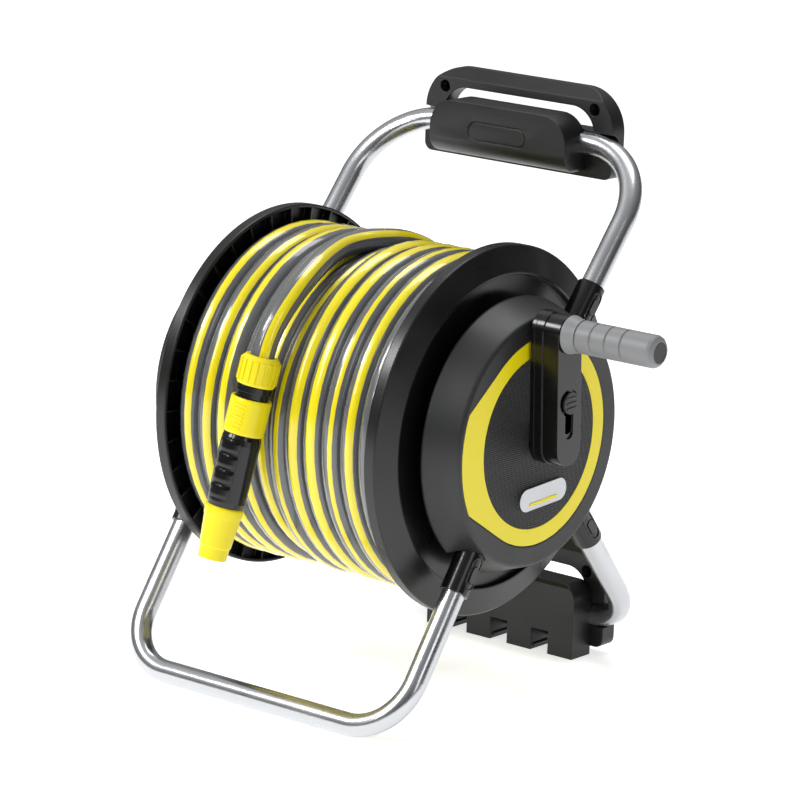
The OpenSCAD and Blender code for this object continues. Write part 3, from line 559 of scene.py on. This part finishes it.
def settle(made, slot_name, body, radius_mm=0.0, segments=3):
    """Rounds the edges, smooths by angle, and puts the piece on its body."""
    if radius_mm:
        rounded = made.modifiers.new("mould_radius", "BEVEL")
        rounded.width = radius_mm * MM
        rounded.segments = segments
        rounded.limit_method = "ANGLE"
        rounded.angle_limit = math.radians(35)
    bake_shape(made)
    for face in made.data.polygons:
        face.use_smooth = True
    made.data.set_sharp_from_angle(angle=math.radians(40))
    made.data.materials.clear()
    made.data.materials.append(SLOT_FINISH[slot_name])
    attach(made, body)
    return made


print("shape helpers ready")

# %% [markdown]
# The front cover of the handle is a deep half shell with a rounded lower edge,
# screwed to the loop behind it. It is cut from one block, as a maker would
# draw it: its front outline, cut by its side outline, with a shallow groove
# in the shape of a pill where a label would sit. The label is left plain.

# %% Outlines and cuts


def prism(outline, low, high, axis):
    """A prism in millimetres from the drum centre, drawn in the plane across axis 0, 1 or 2."""
    mesh = bmesh.new()
    ends = []
    for level in (low, high):
        ring = []
        for a, b in outline:
            point = [a, b]
            point.insert(axis, level)
            ring.append(mesh.verts.new(at(*point)))
        ends.append(ring)
    count = len(outline)
    mesh.faces.new(ends[0])
    mesh.faces.new(list(reversed(ends[1])))
    for i in range(count):
        n = (i + 1) % count
        mesh.faces.new((ends[0][i], ends[1][i], ends[1][n], ends[0][n]))
    return mesh


def arc(centre, radius, start, end, steps):
    """Points on an arc, with its angles in degrees."""
    turns = [math.radians(start + (end - start) * i / steps) for i in range(steps + 1)]
    return [(centre[0] + radius * math.cos(a), centre[1] + radius * math.sin(a)) for a in turns]


def rounded_outline(x0, x1, z0, z1, radii, steps=10):
    """Corners in the order low right, high right, high left, low left."""
    a, b, c, d = radii
    return (arc((x1 - a, z0 + a), a, -90, 0, steps) + arc((x1 - b, z1 - b), b, 0, 90, steps)
            + arc((x0 + c, z1 - c), c, 90, 180, steps) + arc((x0 + d, z0 + d), d, 180, 270, steps))


def carve(made, cutter, operation):
    """Cuts a piece with another one, which is used up."""
    cut = made.modifiers.new("cut", "BOOLEAN")
    cut.operation = operation
    cut.solver = "EXACT"
    cut.object = cutter
    bake_shape(made)
    bpy.data.objects.remove(cutter)
    return made


print("corner points of a rounded outline:", len(rounded_outline(-1, 1, -1, 1, (0.5,) * 4)))

# %% Front cover of the handle
HANDLE_Y, HANDLE_Z = 173.57, 221.06
COVER_FRONT = HANDLE_Y - 30
COVER_BACK = 174
NOSE_R = 17
front_outline = rounded_outline(-75, 75, HANDLE_Z - 25, HANDLE_Z + 24.5, (3, 25, 25, 3))
side_outline = (arc((COVER_FRONT + NOSE_R, HANDLE_Z - 8), NOSE_R, 180, 270, 12)
                + [(COVER_BACK + 1, HANDLE_Z - 25), (COVER_BACK + 1, HANDLE_Z + 26),
                   (COVER_FRONT, HANDLE_Z + 26)])
handle_cover = new_object("handle_front_cover", prism(front_outline, COVER_FRONT, COVER_BACK, 1))
carve(handle_cover, new_object("side_cut", prism(side_outline, -80, 80, 0)), "INTERSECT")
pill = rounded_outline(-32, 32, HANDLE_Z - 8.5, HANDLE_Z + 8.5, (8.4,) * 4)
island = rounded_outline(-31, 31, HANDLE_Z - 7.5, HANDLE_Z + 7.5, (7.4,) * 4)
groove = new_object("pill_groove", prism(pill, COVER_FRONT - 1, COVER_FRONT + 0.8, 1))
carve(groove, new_object("pill_island", prism(island, COVER_FRONT - 2, COVER_FRONT + 2, 1)), "DIFFERENCE")
carve(handle_cover, groove, "DIFFERENCE")
settle(handle_cover, "bracket_plastic", "frame", 0.9)
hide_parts("top_bracket_cover")
print("handle cover faces:", len(handle_cover.data.polygons))

# %% [markdown]
# ## Details that repeat
#
# The ovals, the ridges and the pads are each one shape used many times, so
# Geometry Nodes make them. The tree is built here, with named inputs for its
# sizes in metres. One helper makes the tree's ends, one puts a tree on an
# object, sets the inputs by identifier, and bakes the result.

# %% Geometry Nodes helpers


def new_tree(name, sizes):
    """A node group with one geometry input, the named sizes, and a material; returns its input outlets."""
    group = bpy.data.node_groups.new(name, "GeometryNodeTree")
    group.interface.new_socket("Geometry", in_out="INPUT", socket_type="NodeSocketGeometry")
    for size, kind in sizes.items():
        group.interface.new_socket(size, in_out="INPUT", socket_type=kind)
    group.interface.new_socket("Finish", in_out="INPUT", socket_type="NodeSocketMaterial")
    group.interface.new_socket("Geometry", in_out="OUTPUT", socket_type="NodeSocketGeometry")
    return group, add(group, "NodeGroupInput").outputs


def end_tree(group, geometry, finish_outlet):
    """Realize Instances and Set Material close every tree."""
    real = add(group, "GeometryNodeRealizeInstances", {0: geometry})
    coated = add(group, "GeometryNodeSetMaterial", {"Geometry": real.outputs[0], "Material": finish_outlet})
    add(group, "NodeGroupOutput", {0: coated.outputs[0]})


def wrap(group, geometry, radius):
    """Rolls flat geometry round the z axis: x becomes the way round and y the height above the radius."""
    here = add(group, "GeometryNodeInputPosition").outputs[0]
    where = add(group, "ShaderNodeSeparateXYZ", {0: here}).outputs
    angle = add(group, "ShaderNodeMath", {0: where[0], 1: radius}, operation="DIVIDE").outputs[0]
    reach = add(group, "ShaderNodeMath", {0: where[1], 1: radius}, operation="ADD").outputs[0]
    turned = []
    for part in ("SINE", "COSINE"):
        share = add(group, "ShaderNodeMath", {0: angle}, operation=part).outputs[0]
        turned.append(add(group, "ShaderNodeMath", {0: share, 1: reach}, operation="MULTIPLY").outputs[0])
    rolled = add(group, "ShaderNodeCombineXYZ", {0: turned[0], 1: turned[1], 2: where[2]})
    moved = add(group, "GeometryNodeSetPosition", {"Geometry": geometry, "Position": rolled.outputs[0]})
    return moved.outputs[0]


def grow(name, group, sizes, slot_name, mesh=None):
    """An object whose mesh is what the tree makes with these sizes."""
    made = new_object(name, mesh or bmesh.new())
    modifier = made.modifiers.new("grow", "NODES")
    modifier.node_group = group
    for socket in group.interface.items_tree:
        if socket.in_out == "INPUT" and socket.name in sizes:
            modifier[socket.identifier] = sizes[socket.name]
        elif socket.in_out == "INPUT" and socket.name == "Finish":
            modifier[socket.identifier] = SLOT_FINISH[slot_name]
    return bake_shape(made)


print("tree helpers ready")

# %% [markdown]
# Each tube socket has a long raised oval round its clip window. A rounded
# rectangle is swept into a thin rim, rolled round the socket, and set on six
# points. Each point carries the way that its tube leans.

# %% Tree of the socket ovals
LENGTH, COUNT = "NodeSocketFloat", "NodeSocketInt"
oval_tree, size = new_tree("socket_ovals", {"Width": LENGTH, "Length": LENGTH, "Corner": LENGTH,
                                            "Thickness": LENGTH, "Socket radius": LENGTH})
flat = add(oval_tree, "GeometryNodeCurvePrimitiveQuadrilateral", {"Width": size["Width"],
                                                                  "Height": size["Length"]})
upright = add(oval_tree, "GeometryNodeTransform", {"Geometry": flat.outputs[0],
                                                   "Rotation": (math.radians(90), 0, 0)})
soft = add(oval_tree, "GeometryNodeFilletCurve", {"Curve": upright.outputs[0], "Count": 8,
                                                  "Radius": size["Corner"]}, mode="POLY")
section = add(oval_tree, "GeometryNodeCurvePrimitiveCircle", {"Resolution": 8, "Radius": size["Thickness"]})
swept = add(oval_tree, "GeometryNodeCurveToMesh", {"Curve": soft.outputs[0],
                                                   "Profile Curve": section.outputs[0]})
rolled_oval = wrap(oval_tree, swept.outputs[0], size["Socket radius"])
lean = add(oval_tree, "GeometryNodeInputNamedAttribute", {"Name": "lean"}, data_type="FLOAT_VECTOR")
turn = add(oval_tree, "FunctionNodeEulerToRotation", {0: lean.outputs[0]})
placed = add(oval_tree, "GeometryNodeInstanceOnPoints", {"Points": size["Geometry"], "Instance": rolled_oval,
                                                         "Rotation": turn.outputs[0]})
end_tree(oval_tree, placed.outputs[0], size["Finish"])
print("nodes in the oval tree:", len(oval_tree.nodes))

# %% [markdown]
# The six points come from the three tube loops: each leg leaves the axle at its
# own angle, on the right and on the left. The point holds the turn that stands
# the oval on the outer side of its socket.

# %% Six sockets
LEGS = ((39.3, -5.7), (141.1, -11.4), (214.3, 3.4))
LEG_X, SOCKET_R, OVAL_ALONG = 151, 12.3, 126.5
socket_points = bmesh.new()
lean_layer = socket_points.verts.layers.float_vector.new("lean")
for side in (1, -1):
    for turn_degrees, shift in LEGS:
        c, s = math.cos(math.radians(turn_degrees)), math.sin(math.radians(turn_degrees))
        across, down = shift * c + OVAL_ALONG * s, -shift * s + OVAL_ALONG * c
        point = socket_points.verts.new(at(side * LEG_X, across, down))
        outward, along = Vector((side, 0, 0)), Vector((0, s, c))
        stand = Matrix((outward.cross(along), outward, along)).transposed()
        point[lean_layer] = stand.to_euler()
OVAL_SIZES = {"Width": 11.2 * MM, "Length": 29 * MM, "Corner": 5.5 * MM, "Thickness": 0.9 * MM,
              "Socket radius": (SOCKET_R + 0.1) * MM}
socket_ovals = grow("socket_ovals", oval_tree, OVAL_SIZES, "black_plastic", socket_points)
settle(socket_ovals, "black_plastic", "frame")
print("socket oval faces:", len(socket_ovals.data.polygons))

# %% [markdown]
# The connector sleeve has seven narrow finger ridges, and the nozzle has four
# wide finger pads. Both are rows of blocks rolled round a barrel, so one tree
# makes both, with other sizes. The nozzle hangs in its own frame, which leans
# 11 degrees out and 6.8 degrees aside.

# %% Tree of the finger blocks
block_tree, size = new_tree("finger_blocks", {"Width": LENGTH, "Length": LENGTH, "Thickness": LENGTH,
                                              "Pitch": LENGTH, "Count": COUNT, "Barrel radius": LENGTH})
box_size = add(block_tree, "ShaderNodeCombineXYZ", {0: size["Width"], 1: size["Thickness"],
                                                    2: size["Length"]})
block = add(block_tree, "GeometryNodeMeshCube", {"Size": box_size.outputs[0], "Vertices X": 9,
                                                 "Vertices Y": 2, "Vertices Z": 4})
step = add(block_tree, "ShaderNodeCombineXYZ", {2: size["Pitch"]})
row = add(block_tree, "GeometryNodeMeshLine", {"Count": size["Count"], "Offset": step.outputs[0]})
blocks = add(block_tree, "GeometryNodeInstanceOnPoints", {"Points": row.outputs[0],
                                                          "Instance": block.outputs[0]})
solid_blocks = add(block_tree, "GeometryNodeRealizeInstances", {0: blocks.outputs[0]})
end_tree(block_tree, wrap(block_tree, solid_blocks.outputs[0], size["Barrel radius"]), size["Finish"])
print("nodes in the block tree:", len(block_tree.nodes))

# %% [markdown]
# Now the tree is used twice. The baked rows are made round the z axis, so one
# matrix moves their points to the nozzle, and the objects stay at the origin.
# The ridges slide with the sleeve, and the pads are fixed to the nozzle.

# %% Sleeve ridges and nozzle pads
NOZZLE_TURN = Matrix.Rotation(math.radians(6.8), 4, "Y") @ Matrix.Rotation(math.radians(169), 4, "X")
NOZZLE_PLACE = Matrix.Translation(at(-5.8, -155.9, 67.4)) @ NOZZLE_TURN
FRONT_TURN = Matrix.Rotation(math.radians(-8), 4, "Z")


def finger_blocks(name, first, sizes, slot_name, body, radius_mm):
    """A row of blocks along the nozzle, the first one centred so many millimetres down it."""
    made = grow(name, block_tree, sizes, slot_name)
    made.data.transform(NOZZLE_PLACE @ Matrix.Translation((0, 0, first * MM)) @ FRONT_TURN)
    return settle(made, slot_name, body, radius_mm, 2)


sleeve_ridges = finger_blocks("sleeve_ridges", 42.25, {
    "Width": 11 * MM, "Length": 1.5 * MM, "Thickness": 2.2 * MM, "Pitch": 3.3 * MM, "Count": 7,
    "Barrel radius": 16.95 * MM}, "yellow_plastic", "sleeve", 0.35)
nozzle_pads = finger_blocks("nozzle_pads", 77.8, {
    "Width": 19 * MM, "Length": 11.4 * MM, "Thickness": 3 * MM, "Pitch": 13.2 * MM, "Count": 4,
    "Barrel radius": 16.4 * MM}, "black_plastic", "drum", 0.7)
print("ridge and pad faces:", len(sleeve_ridges.data.polygons), len(nozzle_pads.data.polygons))

# %% [markdown]
# ## Turned details
#
# The finger collar of the grip and the band of the nozzle tip are round, as if
# turned on a lathe. A profile of radius against length is spun round a line,
# which gives a closed ring. The collar turns with the grip, and the band moves
# with the spray tip.

# %% Lathe
COLLAR_PROFILE = [(13.6, 200.8), (15.6, 200.8), (16.4, 201.6), (16.3, 203.2), (15.2, 206.5), (14.25, 211),
                  (14.02, 213.2), (13.6, 213.2)]
BAND_PROFILE = [(13.0, 131.2), (16.35, 131.2), (16.5, 133), (16.2, 139.2), (15.9, 140.2), (13.0, 140.2)]


def lathe(name, profile, place, sides=64):
    """Spins a closed profile in millimetres round the z axis, and puts it where the matrix says."""
    mesh = bmesh.new()
    turns = [2 * math.pi * k / sides for k in range(sides)]
    rings = [[mesh.verts.new(place @ (Vector((r * math.cos(a), r * math.sin(a), z)) * MM)) for a in turns]
             for r, z in profile]
    for ring, following in zip(rings, rings[1:] + rings[:1]):
        for k in range(sides):
            n = (k + 1) % sides
            mesh.faces.new((ring[k], ring[n], following[n], following[k]))
    return new_object(name, mesh)


GRIP_LEAN = math.radians(3)
GRIP_PLACE = (Matrix.Translation(at(0, -98 * math.sin(GRIP_LEAN), 98 * math.cos(GRIP_LEAN)))
              @ Matrix.Rotation(math.radians(90), 4, "Y"))
settle(lathe("grip_collar", COLLAR_PROFILE, GRIP_PLACE), "grip_plastic", "grip")
settle(lathe("nozzle_tip_band", BAND_PROFILE, NOZZLE_PLACE), "yellow_plastic", "spray_tip", 0.3, 2)
print("turned pieces:", 2)
